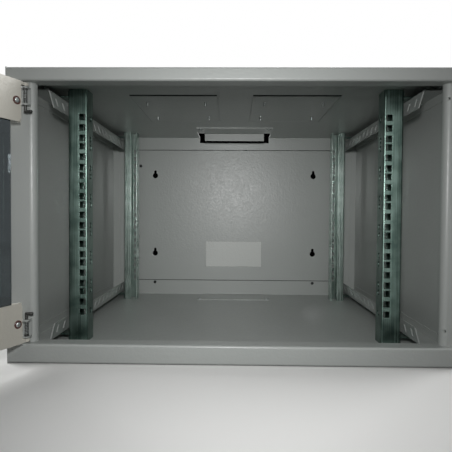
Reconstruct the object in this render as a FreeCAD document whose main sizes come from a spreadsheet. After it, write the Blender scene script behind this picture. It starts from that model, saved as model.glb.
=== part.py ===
import FreeCAD, Part
import math
import os
import Sketcher

Vector = FreeCAD.Vector
doc = FreeCAD.newDocument("WallRackCabinet")

# Driving sizes in millimetres. X runs to the right, Y into the wall, Z up.
# The origin is the middle of the back face, which lies on the wall.
SIZES = dict(
    # cabinet body
    width=600, height=390, depth=505, sheet=1.5, back_sheet=2.0, bend=3.0,
    top_lip=18, bottom_lip=26, lip_return=22,
    top_flange=30, bottom_flange=34.5, side_flange=13.7, weld_flange=14,
    # front columns of the side walls
    column_recess=9, hinge_column=34, lock_column=25, column_return=10, column_bend=8,
    spare_hole_inset=21, spare_hole_radius=2.2,
    # nineteen inch rails with the standard three hole pattern
    rack_units=7, unit_pitch=44.45, hole_side=9.5, hole_offset=15.875, hole_spacing=465.1,
    rail_inner_gap=450, rail_face=29, rail_web=26.5, rail_return=15, rail_sheet=2.0, rail_bend=2.5,
    rail_clearance=0.3, front_rail_setback=94, rear_rail_setback=45, web_hole_radius=4.5,
    web_hole_depth=15, rail_centre=2,
    # side beams that carry the rails
    beam_front_gap=57, beam_rear_gap=8, beam_height=182, beam_flange=32, beam_drop=26, beam_slant=7,
    beam_sheet=1.5, beam_foot=14, beam_slot_length=6, beam_slot_width=12, beam_slot_pitch=25,
    bracket_sheet=2.0, bracket_width=18, bracket_rise=9.5, bracket_overlap=14,
    # fan openings and their blanking plates in the roof
    fan_centre=99, fan_setback=282, fan_opening_width=141, fan_opening_depth=196,
    fan_plate_margin=14, fan_plate_sheet=1.2, fan_side_gap=0.8, fan_front_gap=9,
    fan_screw_across=98.5, fan_screw_along=105,
    # cable entries in the roof and the floor
    entry_width=170, entry_depth=66, entry_notch=13,
    entry_cover_width=167, entry_cover_sheet=1.5, roof_cover_setback=62, roof_cover_leg=64,
    roof_cover_lip=18, roof_cover_lip_width=137, roof_screw_spacing=150, roof_screw_inset=10,
    floor_cover_leg=72, floor_cover_lip=25, floor_cover_lip_width=144, floor_screw_spacing=156,
    floor_entry_width=134, floor_entry_depth=44, floor_screw_inset=6,
    # keyholes and knockout of the back panel
    keyhole_spacing=390, keyhole_rise=192, keyhole_centre=4, keyhole_radius=6.75, keyhole_slot=3.5,
    keyhole_throat=13.5, knockout_width=138, knockout_height=62.5, knockout_centre=93.5,
    knockout_sheet=0.8, knockout_gap=0.3, seam_screw_span=390, seam_screw_rise=29.5,
    earth_screw_side=230.5, earth_screw_height=123.6,
    # glass door and its clamp hinges
    door_open=114, hinge_inset=25, door_gap=3, glass=4, gasket=0.8, clamp_sheet=1.5, door_clearance=2.6,
    clamp_start=9.6, clamp_length=48, clamp_height=53, clamp_corner=6, glass_start=24, glass_edge_inset=12,
    glass_corner=4, pivot_length=14, pivot_tab=4, pivot_radius=4.3, bolt_offset=7, bolt_radius=2.5,
    bolt_head_radius=3.4, bolt_head=1.6, bolt_nut_radius=4.6, washer_radius=5.4, washer_sheet=0.6,
    ear_half_width=4.5, ear_sheet=2, ear_span=24, ear_offset=5, bracket_plate=1.2,
    pin_radius=2.0, pin_fit=0.2, pin_collar_radius=3.1, pin_collar=2, pin_tail_drop=8,
    pin_tail=8.6, spring_radius=3.1, spring_wall=0.7, spring_end_gap=0.2, pin_tip=0.3,
    bolt_nut=3,
    screw_radius=2.0, screw_head_radius=3.6, screw_head=2.2, screw_clearance=0.1, fan_screw_reach=7,
    entry_screw_head_radius=4.6, entry_screw_head=2.6,
    # quarter turn lock at the free edge of the door
    lock_inset=26, lock_centre=4, lock_hole_radius=9.5, lock_body_radius=9, lock_flange_radius=14,
    lock_flange=2.5, lock_nut_radius=12, lock_nut=4, cam_clearance=1, core_radius=6,
    core_fit=0.15, core_nose=3.5, cam_length=29, cam_half_width=6, cam_sheet=2, cam_screw_radius=4,
    cam_screw_head=2.5, key_slot_width=1.4, key_slot_length=7, key_slot_depth=2.5,
)

sheet = doc.addObject("Spreadsheet::Sheet", "dims")
for row, (alias, value) in enumerate(SIZES.items(), 1):
    sheet.set(f"A{row}", alias)
    sheet.set(f"B{row}", str(value))
    sheet.setAlias(f"B{row}", alias)
doc.recompute()


# Heights and depths that several pieces share, as expressions of the sheet.
TOP = "(dims.height / 2)"
CEILING = "(dims.height / 2 - dims.sheet)"
INNER_WALL = "(dims.width / 2 - dims.sheet)"
BACK = "(-dims.back_sheet)"
FRONT = "(-dims.depth)"
COLUMN_FACE = "(dims.column_recess - dims.depth)"
LIP_TOP = "(dims.height / 2 - dims.top_lip)"
LIP_BOTTOM = "(dims.bottom_lip - dims.height / 2)"
DOOR_TOP = f"({LIP_TOP} - dims.door_gap)"
DOOR_BOTTOM = f"({LIP_BOTTOM} + dims.door_gap)"
RAIL_INNER = "(dims.rail_inner_gap / 2)"
RAIL_OUTER = "(dims.rail_inner_gap / 2 + dims.rail_face)"
RAIL_LENGTH = "(dims.height - 2 * dims.sheet - 2 * dims.rail_clearance)"
STACK = "(dims.glass / 2 + dims.gasket + dims.clamp_sheet)"
AXIS_X = "(dims.hinge_inset - dims.width / 2)"
AXIS_Y = f"({COLUMN_FACE} - dims.door_clearance - {STACK})"
GLASS_END = f"(dims.width / 2 - dims.glass_edge_inset - {AXIS_X})"
LOCK_X = f"({GLASS_END} - dims.lock_inset)"
FLANGE_FACE = f"({BACK} - dims.sheet)"
FRONT_RAIL_FACE = f"({FRONT} + dims.front_rail_setback)"
REAR_RAIL_FACE = f"({BACK} - dims.rear_rail_setback)"
BEAM_FOLD = f"({INNER_WALL} - dims.beam_flange)"
FRONT_BRACKET_Y = f"({FRONT_RAIL_FACE} + dims.rail_web / 2)"
REAR_BRACKET_Y = f"({REAR_RAIL_FACE} - dims.rail_web / 2)"
BRACKET_SCREW_HEIGHT = "(dims.beam_height + (dims.bracket_rise + dims.bracket_sheet) / 2)"
BRACKET_SCREW_SIDE = f"({BEAM_FOLD} + dims.bracket_overlap / 2)"
SCREW_HOLE = "dims.screw_radius + dims.screw_clearance"


def new_body(label):
    body = doc.addObject("PartDesign::Body", label)
    body.Label = label
    return body


def new_sketch(body, plane, name, offset="0"):
    """An empty sketch on one of the body's own origin planes, moved along the plane's normal."""
    sketch = body.newObject("Sketcher::SketchObject", f"{body.Name}_{name}")
    role = plane + "_Plane"
    sketch.AttachmentSupport = ([f for f in body.Origin.OriginFeatures if f.Role == role][0], [""])
    sketch.MapMode = "FlatFace"
    sketch.setExpression("AttachmentOffset.Base.z", offset)
    return sketch


def pin_point(sketch, geometry, position, x, y, start):
    """Hold one point of the sketch at two expressions, measured from the origin."""
    for kind, expression, first in (("DistanceX", x, start.x), ("DistanceY", y, start.y)):
        index = sketch.addConstraint(Sketcher.Constraint(kind, -1, 1, geometry, position, first))
        sketch.setExpression(f"Constraints[{index}]", expression)


def add_outline(sketch, points):
    """A closed outline of straight lines whose corners are expressions of the sheet."""
    first = sketch.GeometryCount
    count = len(points)
    spots = [Vector(math.cos(2 * math.pi * i / count), math.sin(2 * math.pi * i / count), 0)
             for i in range(count)]
    for i in range(count):
        sketch.addGeometry(Part.LineSegment(spots[i], spots[(i + 1) % count]), False)
    for i in range(count):
        following = first + (i + 1) % count
        sketch.addConstraint(Sketcher.Constraint("Coincident", first + i, 2, following, 1))
    for i, (x, y) in enumerate(points):
        pin_point(sketch, first + i, 1, x, y, spots[i])


def add_circle(sketch, x, y, radius):
    index = sketch.addGeometry(Part.Circle(Vector(1, 1, 0), Vector(0, 0, 1), 1), False)
    pin_point(sketch, index, 3, x, y, Vector(1, 1, 0))
    held = sketch.addConstraint(Sketcher.Constraint("Radius", index, 1.0))
    sketch.setExpression(f"Constraints[{held}]", radius)


def rectangle(left, right, low, high):
    return [(left, low), (right, low), (right, high), (left, high)]


def extrude(body, kind, sketch, length, reverse=False):
    """Pad or pocket a sketch. A pocket that removes nothing stops the build."""
    doc.recompute()
    before = body.Shape.Volume if body.Tip else 0.0
    feature = body.newObject("PartDesign::" + kind, f"{sketch.Name}_{kind.lower()}")
    feature.Profile = sketch
    feature.setExpression("Length", length)
    feature.Reversed = reverse
    doc.recompute()
    if abs(body.Shape.Volume - before) < 1e-6:
        raise RuntimeError(f"{feature.Name} changes nothing")
    return feature


def pad(body, plane, name, points, length, offset="0", reverse=False):
    sketch = new_sketch(body, plane, name, offset)
    add_outline(sketch, points)
    return extrude(body, "Pad", sketch, length, reverse)


def pocket(body, plane, name, points, length, offset="0", reverse=False):
    sketch = new_sketch(body, plane, name, offset)
    add_outline(sketch, points)
    return extrude(body, "Pocket", sketch, length, reverse)


def round_holes(body, plane, name, circles, length, offset="0", reverse=False):
    sketch = new_sketch(body, plane, name, offset)
    for x, y, radius in circles:
        add_circle(sketch, x, y, radius)
    return extrude(body, "Pocket", sketch, length, reverse)


def round_edges(body, name, sketch, corners, radius):
    """Fillet the straight edges that stand on the named corners of a sketch."""
    doc.recompute()
    base = body.Tip
    normal = sketch.Placement.Rotation.multVec(Vector(0, 0, 1))
    spots = [sketch.Placement.multVec(sketch.getPoint(corner, 1)) for corner in corners]
    names = []
    for index, edge in enumerate(base.Shape.Edges, 1):
        ends = [vertex.Point for vertex in edge.Vertexes]
        if len(ends) < 2 or not isinstance(edge.Curve, Part.Line):
            continue
        along = ends[1] - ends[0]
        if along.cross(normal).Length > 1e-6 * along.Length:
            continue
        for spot in spots:
            if (ends[0] - spot).cross(normal).Length < 1e-5:
                names.append(f"Edge{index}")
                break
    fillet = body.newObject("PartDesign::Fillet", f"{body.Name}_{name}")
    fillet.Base = (base, names)
    fillet.setExpression("Radius", radius)
    doc.recompute()
    return fillet


def hinge_place(body):
    """Put a door piece, drawn about the hinge axis with the door shut, at the open door's angle."""
    body.Placement = FreeCAD.Placement(Vector(), FreeCAD.Rotation(Vector(0, 0, 1), -1))
    body.setExpression("Placement.Base.x", AXIS_X)
    body.setExpression("Placement.Base.y", AXIS_Y)
    body.setExpression("Placement.Rotation.Angle", "-dims.door_open * 1 deg")
    return body


# Roof and floor: one folded sheet each, with a box lip in front and a flange behind.
def shell_panel(label, up):
    """up is 1 for the roof and -1 for the floor."""
    lip = LIP_TOP if up > 0 else LIP_BOTTOM
    flange = "dims.top_flange" if up > 0 else "dims.bottom_flange"
    outer = f"{up} * {TOP}"
    inner = f"{up} * {CEILING}"
    flange_end = f"{up} * ({CEILING} - {flange})"
    lip_inner = f"{lip} + {up} * dims.sheet"
    return_end = f"{FRONT} + dims.lip_return"
    profile = [
        (return_end, lip), (FRONT, lip), (FRONT, outer), (BACK, outer), (BACK, flange_end),
        (f"{BACK} - dims.sheet", flange_end), (f"{BACK} - dims.sheet", inner),
        (f"{FRONT} + dims.sheet", inner), (f"{FRONT} + dims.sheet", lip_inner), (return_end, lip_inner),
    ]
    body = new_body(label)
    feature = pad(body, "YZ", "profile", profile, f"2 * {INNER_WALL}", f"-{INNER_WALL}")
    round_edges(body, "outer_bends", feature.Profile[0], (1, 2, 3), "dims.bend")
    round_edges(body, "inner_bends", feature.Profile[0], (6, 7, 8), "dims.bend - dims.sheet")
    return body


def make_roof():
    """The roof sheet with two fan openings and a cable entry that runs out through the rear flange."""
    roof = shell_panel("roof_panel", 1)
    half_depth = "dims.fan_opening_depth / 2"
    half_width = "dims.fan_opening_width / 2"
    for name, side in (("left", -1), ("right", 1)):
        middle = f"{side} * dims.fan_centre"
        spot = rectangle(f"{middle} - {half_width}", f"{middle} + {half_width}",
                         f"-dims.fan_setback - {half_depth}", f"{half_depth} - dims.fan_setback")
        pocket(roof, "XY", f"fan_opening_{name}", spot, "2 * dims.sheet", f"{TOP} + dims.sheet / 2")
    half = "dims.entry_width / 2"
    pocket(roof, "XY", "cable_entry", rectangle(f"-{half}", half, "-dims.entry_depth", "dims.sheet"),
           "dims.sheet + dims.entry_notch", TOP)
    round_holes(roof, "XY", "cover_holes", roof_cover_holes(), "2 * dims.sheet", f"{TOP} + dims.sheet / 2")


def make_floor():
    """The floor sheet with a cable entry and the screw holes of its rear flange."""
    floor = shell_panel("floor_panel", -1)
    half = "dims.floor_entry_width / 2"
    rear = f"({FLANGE_FACE} - 3 * dims.entry_cover_sheet)"
    pocket(floor, "XY", "cable_entry", rectangle(f"-{half}", half, f"{rear} - dims.floor_entry_depth", rear),
           "2 * dims.sheet", f"dims.sheet / 2 - {CEILING}")
    round_holes(floor, "XZ", "seam_holes", seam_screw_holes(), "2 * dims.sheet", f"-{FLANGE_FACE}")
    round_holes(floor, "XY", "cover_holes", floor_cover_holes(), "2 * dims.sheet", f"dims.sheet / 2 - {CEILING}")


def mirrored(x, y, radius):
    """The same round hole on both sides of the middle."""
    return [(f"{side} * ({x})", y, radius) for side in (-1, 1)]


def seam_screw_holes():
    return mirrored("dims.seam_screw_span / 2", f"dims.seam_screw_rise - {CEILING}", SCREW_HOLE)


def roof_cover_holes():
    front = "-dims.roof_cover_setback - dims.roof_cover_leg + dims.roof_screw_inset"
    return mirrored("dims.roof_screw_spacing / 2", front, SCREW_HOLE)


def floor_cover_holes():
    front = f"{FLANGE_FACE} - dims.floor_cover_leg + dims.floor_screw_inset"
    return mirrored("dims.floor_screw_spacing / 2", front, SCREW_HOLE)


def side_wall(label, side):
    """One folded sheet: the wall, its rounded front column, a rear flange and two weld flanges."""
    column = "dims.hinge_column" if side < 0 else "dims.lock_column"
    outer = f"({side} * dims.width / 2)"
    wall = f"({side} * {INNER_WALL})"
    edge = f"({side} * (dims.width / 2 - {column}))"
    edge_inner = f"({edge} + {side} * dims.sheet)"
    return_end = f"({COLUMN_FACE} + dims.column_return)"
    body = new_body(label)
    # the wall runs the full height, and on to the lips above and below the door opening
    outline = [(FRONT, f"-{TOP}"), (BACK, f"-{TOP}"), (BACK, TOP), (FRONT, TOP), (FRONT, LIP_TOP),
               (COLUMN_FACE, LIP_TOP), (COLUMN_FACE, LIP_BOTTOM), (FRONT, LIP_BOTTOM)]
    pad(body, "YZ", "wall", outline, "dims.sheet", outer if side < 0 else wall)
    # the column is folded round at its inner edge
    plan = [(outer, COLUMN_FACE), (edge, COLUMN_FACE), (edge, return_end), (edge_inner, return_end),
            (edge_inner, f"{COLUMN_FACE} + dims.sheet"), (outer, f"{COLUMN_FACE} + dims.sheet")]
    column_pad = pad(body, "XY", "column", plan, f"{LIP_TOP} - {LIP_BOTTOM}", LIP_BOTTOM)
    column_plan = column_pad.Profile[0]
    round_edges(body, "column_bend", column_plan, (1,), "dims.column_bend")
    round_edges(body, "column_inner_bend", column_plan, (4,), "dims.column_bend - dims.sheet")
    pad(body, "XZ", "rear_flange",
        rectangle(wall, f"{side} * ({INNER_WALL} - dims.side_flange)",
                  f"dims.bottom_flange - {CEILING}", f"{CEILING} - dims.top_flange"),
        "dims.sheet", f"-{BACK}")
    for name, level in (("top", f"{CEILING} - dims.sheet"), ("bottom", f"-{CEILING}")):
        strip = rectangle(wall, f"{side} * ({INNER_WALL} - dims.weld_flange)",
                          f"{return_end} + dims.column_return", f"{FLANGE_FACE} - dims.weld_flange")
        pad(body, "XY", f"{name}_weld_flange", strip, "dims.sheet", level)
    if side > 0:
        spare_hinge_holes(body)


def spare_hinge_holes(body):
    """Two holes in the lock column for a hinge on that side."""
    spare_x = "dims.width / 2 - dims.spare_hole_inset"
    spares = [(spare_x, f"{DOOR_TOP} - dims.ear_offset - dims.ear_span / 2", "dims.spare_hole_radius"),
              (spare_x, f"{DOOR_BOTTOM} + dims.ear_offset + dims.ear_span / 2", "dims.spare_hole_radius")]
    round_holes(body, "XZ", "spare_holes", spares, "2 * dims.sheet", f"dims.sheet / 2 - {COLUMN_FACE}")


def make_back_panel():
    """A flat sheet behind the flanges, with keyholes, a knockout opening and the rear cable notch."""
    body = new_body("back_panel")
    pad(body, "XZ", "sheet", rectangle("-dims.width / 2", "dims.width / 2", f"-{TOP}", TOP), "dims.back_sheet")
    through = "dims.back_sheet"
    front_offset = "dims.back_sheet"
    circles, slots = [], []
    for side in (-1, 1):
        for up in (-1, 1):
            x = f"({side} * dims.keyhole_spacing / 2)"
            z = f"(dims.keyhole_centre + {up} * dims.keyhole_rise / 2)"
            circles.append((x, z, "dims.keyhole_radius"))
            slots.append(rectangle(f"{x} - dims.keyhole_slot", f"{x} + dims.keyhole_slot", z,
                                   f"{z} + dims.keyhole_throat"))
    round_holes(body, "XZ", "keyholes", circles, through, front_offset)
    for index, slot in enumerate(slots, 1):
        feature = pocket(body, "XZ", f"keyhole_slot_{index}", slot, through, front_offset)
        round_edges(body, f"keyhole_end_{index}", feature.Profile[0], (2, 3), "dims.keyhole_slot * 0.99")
    half = "dims.knockout_width / 2"
    pocket(body, "XZ", "knockout_opening",
           rectangle(f"-{half}", half, "-dims.knockout_centre - dims.knockout_height / 2",
                     "dims.knockout_height / 2 - dims.knockout_centre"), through, front_offset)
    half = "dims.entry_width / 2"
    pocket(body, "XZ", "cable_notch",
           rectangle(f"-{half}", half, f"{CEILING} - dims.entry_notch", f"{TOP} + dims.sheet"),
           through, front_offset)
    holes = seam_screw_holes() + [("-dims.earth_screw_side", "dims.earth_screw_height", SCREW_HOLE)]
    round_holes(body, "XZ", "screw_holes", holes, through, front_offset)


def make_knockout():
    """The blank that closes the knockout opening, let in so that it lies deeper than the panel's face."""
    body = new_body("knockout_plate")
    half = "(dims.knockout_width / 2 - dims.knockout_gap)"
    rise = "(dims.knockout_height / 2 - dims.knockout_gap)"
    pad(body, "XZ", "blank", rectangle(f"-{half}", half, f"-dims.knockout_centre - {rise}",
                                       f"{rise} - dims.knockout_centre"), "dims.knockout_sheet")


# The rails are zinc plated C sections. The front pair faces the door and the rear pair the wall.
def rail(label, side, facing):
    """facing is 1 for a rail whose holed face looks at the door, and -1 for one that looks at the wall."""
    face = FRONT_RAIL_FACE if facing > 0 else REAR_RAIL_FACE
    inner = f"({side} * {RAIL_INNER})"
    outer = f"({side} * {RAIL_OUTER})"
    wall = f"{side} * dims.rail_sheet"
    back = f"({face} + {facing} * dims.rail_web)"
    face_inside = f"({face} + {facing} * dims.rail_sheet)"
    back_inside = f"({back} - {facing} * dims.rail_sheet)"
    fold = f"({outer} - {side} * dims.rail_return)"
    profile = [(inner, face), (outer, face), (outer, back), (fold, back), (fold, back_inside),
               (f"{outer} - {wall}", back_inside), (f"{outer} - {wall}", face_inside),
               (f"{inner} + {wall}", face_inside), (f"{inner} + {wall}", back), (inner, back)]
    body = new_body(label)
    feature = pad(body, "XY", "profile", profile, RAIL_LENGTH, f"-{RAIL_LENGTH} / 2")
    round_edges(body, "outer_bends", feature.Profile[0], (0, 1, 2), "dims.rail_bend")
    round_edges(body, "inner_bends", feature.Profile[0], (5, 6, 7), "dims.rail_bend - dims.rail_sheet")
    rack_holes(body, side, facing, face)
    web_holes(body, side, facing, face, inner)
    spots = [(f"{face} + {facing} * dims.rail_web / 2", f"{up} * {BRACKET_SCREW_HEIGHT}", SCREW_HOLE)
             for up in (-1, 1)]
    round_holes(body, "YZ", "bracket_holes", spots, "2 * dims.rail_sheet",
                f"{outer} + {side} * dims.rail_sheet / 2", side < 0)


def repeat_units(body, feature, sketch):
    """Repeat one unit's holes up the rail."""
    pattern = body.newObject("PartDesign::LinearPattern", feature.Name + "_units")
    pattern.Originals = [feature]
    pattern.Direction = (sketch, ["V_Axis"])
    pattern.setExpression("Length", "(dims.rack_units - 1) * dims.unit_pitch")
    pattern.setExpression("Occurrences", "dims.rack_units")
    body.Tip = pattern
    doc.recompute()


FIRST_UNIT = "(dims.rail_centre + dims.unit_pitch / 2 - dims.rack_units * dims.unit_pitch / 2)"


def rack_holes(body, side, facing, face):
    sketch = new_sketch(body, "XZ", "rack_holes", f"-{face}")
    middle = f"{side} * dims.hole_spacing / 2"
    for step in (-1, 0, 1):
        level = f"{FIRST_UNIT} + {step} * dims.hole_offset"
        add_outline(sketch, rectangle(f"{middle} - dims.hole_side / 2", f"{middle} + dims.hole_side / 2",
                                      f"{level} - dims.hole_side / 2", f"{level} + dims.hole_side / 2"))
    feature = extrude(body, "Pocket", sketch, "dims.rail_sheet * 1.5", facing < 0)
    repeat_units(body, feature, sketch)


def web_holes(body, side, facing, face, inner):
    sketch = new_sketch(body, "YZ", "web_holes", inner)
    for step in (-1, 1):
        add_circle(sketch, f"{face} + {facing} * dims.web_hole_depth",
                   f"{FIRST_UNIT} + {step} * dims.hole_offset", "dims.web_hole_radius")
    feature = extrude(body, "Pocket", sketch, "dims.rail_sheet * 1.5", side > 0)
    repeat_units(body, feature, sketch)


# The beams are folded sheet, welded along the side walls, with a row of slots in the sloping web.
def side_beam(label, side, up):
    wall = f"({side} * {INNER_WALL})"
    fold = f"({side} * {BEAM_FOLD})"
    edge = f"({side} * ({BEAM_FOLD} - dims.beam_slant))"
    level = f"({up} * dims.beam_height)"
    inside = f"({up} * (dims.beam_height - dims.beam_sheet))"
    drop = f"({up} * (dims.beam_height - dims.beam_drop))"
    foot = f"({up} * (dims.beam_height - dims.beam_foot))"
    thick = f"{side} * dims.beam_sheet"
    profile = [(wall, level), (fold, level), (edge, drop), (f"{edge} + {thick}", drop),
               (f"{fold} + {thick}", inside), (f"{wall} - {thick}", inside), (f"{wall} - {thick}", foot),
               (wall, foot)]
    rear = f"({FLANGE_FACE} - dims.beam_rear_gap)"
    length = f"({rear} - {FRONT} - dims.beam_front_gap)"
    body = new_body(label)
    feature = pad(body, "XZ", "profile", profile, length, f"-{rear}")
    round_edges(body, "outer_bends", feature.Profile[0], (1,), "dims.bend")
    round_edges(body, "inner_bends", feature.Profile[0], (4,), "dims.bend - dims.beam_sheet")
    # slots in the sloping web
    sketch = new_sketch(body, "YZ", "slot", f"{edge} - {thick}")
    middle = f"{up} * (dims.beam_height - dims.beam_drop / 2 - dims.beam_sheet)"
    start = f"({FRONT} + dims.beam_front_gap + dims.beam_slot_pitch / 2)"
    add_outline(sketch, rectangle(start, f"{start} + dims.beam_slot_length", f"{middle} - dims.beam_slot_width / 2",
                                  f"{middle} + dims.beam_slot_width / 2"))
    feature = extrude(body, "Pocket", sketch, "dims.beam_slant + 3 * dims.beam_sheet", side > 0)
    pattern = body.newObject("PartDesign::LinearPattern", label + "_slots")
    pattern.Originals = [feature]
    pattern.Direction = (sketch, ["H_Axis"])
    count = f"floor({length} / dims.beam_slot_pitch)"
    pattern.setExpression("Length", f"({count} - 1) * dims.beam_slot_pitch")
    pattern.setExpression("Occurrences", count)
    body.Tip = pattern
    doc.recompute()
    spots = [(f"{side} * {BRACKET_SCREW_SIDE}", y, SCREW_HOLE) for y in (FRONT_BRACKET_Y, REAR_BRACKET_Y)]
    round_holes(body, "XY", "bracket_holes", spots, "2 * dims.beam_sheet",
                f"{level} + {up} * dims.beam_sheet / 2", up < 0)


def rail_bracket(label, side, up, middle):
    """An angle that joins one rail to the flange of one beam."""
    near = f"({side} * {RAIL_OUTER})"
    far = f"({side} * ({BEAM_FOLD} + dims.bracket_overlap))"
    thick = f"{side} * dims.bracket_sheet"
    level = f"({up} * dims.beam_height)"
    above = f"({up} * (dims.beam_height + dims.bracket_sheet))"
    rise = f"({up} * (dims.beam_height + dims.bracket_rise))"
    body = new_body(label)
    pad(body, "XZ", "profile",
        [(near, level), (far, level), (far, above), (f"{near} + {thick}", above), (f"{near} + {thick}", rise),
         (near, rise)], "dims.bracket_width", f"-({middle}) - dims.bracket_width / 2")
    round_holes(body, "XY", "flange_hole", [(f"{side} * {BRACKET_SCREW_SIDE}", middle, SCREW_HOLE)],
                "2 * dims.bracket_sheet", f"{above} + {up} * dims.bracket_sheet / 2", up < 0)
    round_holes(body, "YZ", "rail_hole", [(middle, f"{up} * {BRACKET_SCREW_HEIGHT}", SCREW_HOLE)],
                "2 * dims.bracket_sheet", f"{near} + {thick} * 3 / 2", side < 0)


def fan_plate(label, side):
    """A blanking plate over one fan opening: a lid outside, and a plug that lies in the opening."""
    body = new_body(label)
    middle = f"{side} * dims.fan_centre"
    half_width = "(dims.fan_opening_width / 2 + dims.fan_plate_margin)"
    half_depth = "(dims.fan_opening_depth / 2 + dims.fan_plate_margin)"
    pad(body, "XY", "plate", rectangle(f"{middle} - {half_width}", f"{middle} + {half_width}",
                                       f"-dims.fan_setback - {half_depth}", f"{half_depth} - dims.fan_setback"),
        "dims.fan_plate_sheet", TOP)
    plug_width = "(dims.fan_opening_width / 2 - dims.fan_side_gap)"
    plug_depth = "dims.fan_opening_depth / 2"
    pad(body, "XY", "plug", rectangle(f"{middle} - {plug_width}", f"{middle} + {plug_width}",
                                      f"dims.fan_front_gap - dims.fan_setback - {plug_depth}",
                                      f"{plug_depth} - dims.fan_setback - dims.fan_side_gap"),
        "dims.sheet", CEILING)
    round_holes(body, "XY", "fan_holes", [(x, y, SCREW_HOLE) for x, y in fan_screw_spots(side)],
                "2 * dims.sheet + 2 * dims.fan_plate_sheet", f"{TOP} + 1.5 * dims.fan_plate_sheet")


def fan_screw_spots(side):
    return [(f"{side} * dims.fan_centre + {across} * dims.fan_screw_across / 2",
             f"{along} * dims.fan_screw_along / 2 - dims.fan_setback")
            for across in (-1, 1) for along in (-1, 1)]


def folded_cover(label, lip_width, corner, leg, lip):
    """An angle plate. Its corner is (y, z), leg is how far it runs forward, and lip how far it turns in Z."""
    y, z, up = corner
    thick = "dims.entry_cover_sheet"
    tip = f"({z} + {up} * {lip})"
    inner = f"({z} + {up} * {thick})"
    relief = f"({y} - 2 * dims.bend)"
    body = new_body(label)
    fold = pad(body, "YZ", "fold",
               [(y, z), (y, tip), (f"{y} - {thick}", tip), (f"{y} - {thick}", inner), (relief, inner), (relief, z)],
               lip_width, f"-{lip_width} / 2")
    round_edges(body, "outer_bend", fold.Profile[0], (0,), "dims.bend")
    round_edges(body, "inner_bend", fold.Profile[0], (3,), "dims.bend - dims.entry_cover_sheet")
    half = "dims.entry_cover_width / 2"
    pad(body, "XY", "leg", rectangle(f"-{half}", half, f"{y} - {leg}", relief), thick,
        z if up > 0 else f"{z} - {thick}")
    return body


def entry_covers():
    """Two angle plates: one screwed under the roof with a hanging lip, one on the floor with a standing lip."""
    roof = folded_cover("roof_entry_cover", "dims.roof_cover_lip_width", ("(-dims.roof_cover_setback)", CEILING, -1),
                        "dims.roof_cover_leg", "dims.roof_cover_lip")
    round_holes(roof, "XY", "screw_holes", roof_cover_holes(), "3 * dims.entry_cover_sheet",
                f"{CEILING} + dims.entry_cover_sheet")
    floor = folded_cover("floor_entry_cover", "dims.floor_cover_lip_width", (FLANGE_FACE, f"(-{CEILING})", 1),
                         "dims.floor_cover_leg", "dims.floor_cover_lip")
    round_holes(floor, "XY", "screw_holes", floor_cover_holes(), "3 * dims.entry_cover_sheet",
                f"2 * dims.entry_cover_sheet - {CEILING}")


# Round fasteners are cylinders joined end to end; like ones share one node.
TURNS = {"+x": ((0, 1, 0), 90), "-x": ((0, 1, 0), -90), "+y": ((1, 0, 0), -90), "-y": ((1, 0, 0), 90),
         "+z": ((0, 0, 1), 0), "-z": ((1, 0, 0), 180)}


def cylinder(name, radius, length, start="0"):
    """A cylinder along the local Z axis."""
    part = doc.addObject("Part::Cylinder", name)
    part.setExpression("Radius", radius)
    part.setExpression("Height", length)
    part.setExpression("Placement.Base.z", start)
    return part


def hexagon(name, radius, length):
    """A six sided prism along the local Z axis, with the given radius to its corners."""
    part = doc.addObject("Part::Prism", name)
    part.Polygon = 6
    part.setExpression("Circumradius", radius)
    part.setExpression("Height", length)
    return part


def place(part, x, y, z, way="+z"):
    axis, angle = TURNS[way]
    part.Placement = FreeCAD.Placement(Vector(), FreeCAD.Rotation(Vector(*axis), angle))
    for coordinate, expression in (("x", x), ("y", y), ("z", z)):
        part.setExpression("Placement.Base." + coordinate, expression)
    return part


def fuse(name, members):
    joined = doc.addObject("Part::MultiFuse", name)
    joined.Shapes = members
    joined.Label = name
    return joined


def cut(name, base, tool):
    result = doc.addObject("Part::Cut", name)
    result.Base = base
    result.Tool = tool
    result.Label = name
    return result


def gather(label, members):
    """Several separate solids in one node."""
    group = doc.addObject("Part::Compound", label)
    group.Links = members
    group.Label = label
    return group


def screw(name, x, y, z, way, length, head_radius="dims.screw_head_radius", head="dims.screw_head",
          radius="dims.screw_radius"):
    """A screw whose head bears at the given point and whose shank runs the given way."""
    shank = cylinder(name + "_shank", radius, length)
    cap = cylinder(name + "_head", head_radius, head, f"-{head}")
    return place(fuse(name, [shank, cap]), x, y, z, way)


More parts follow.
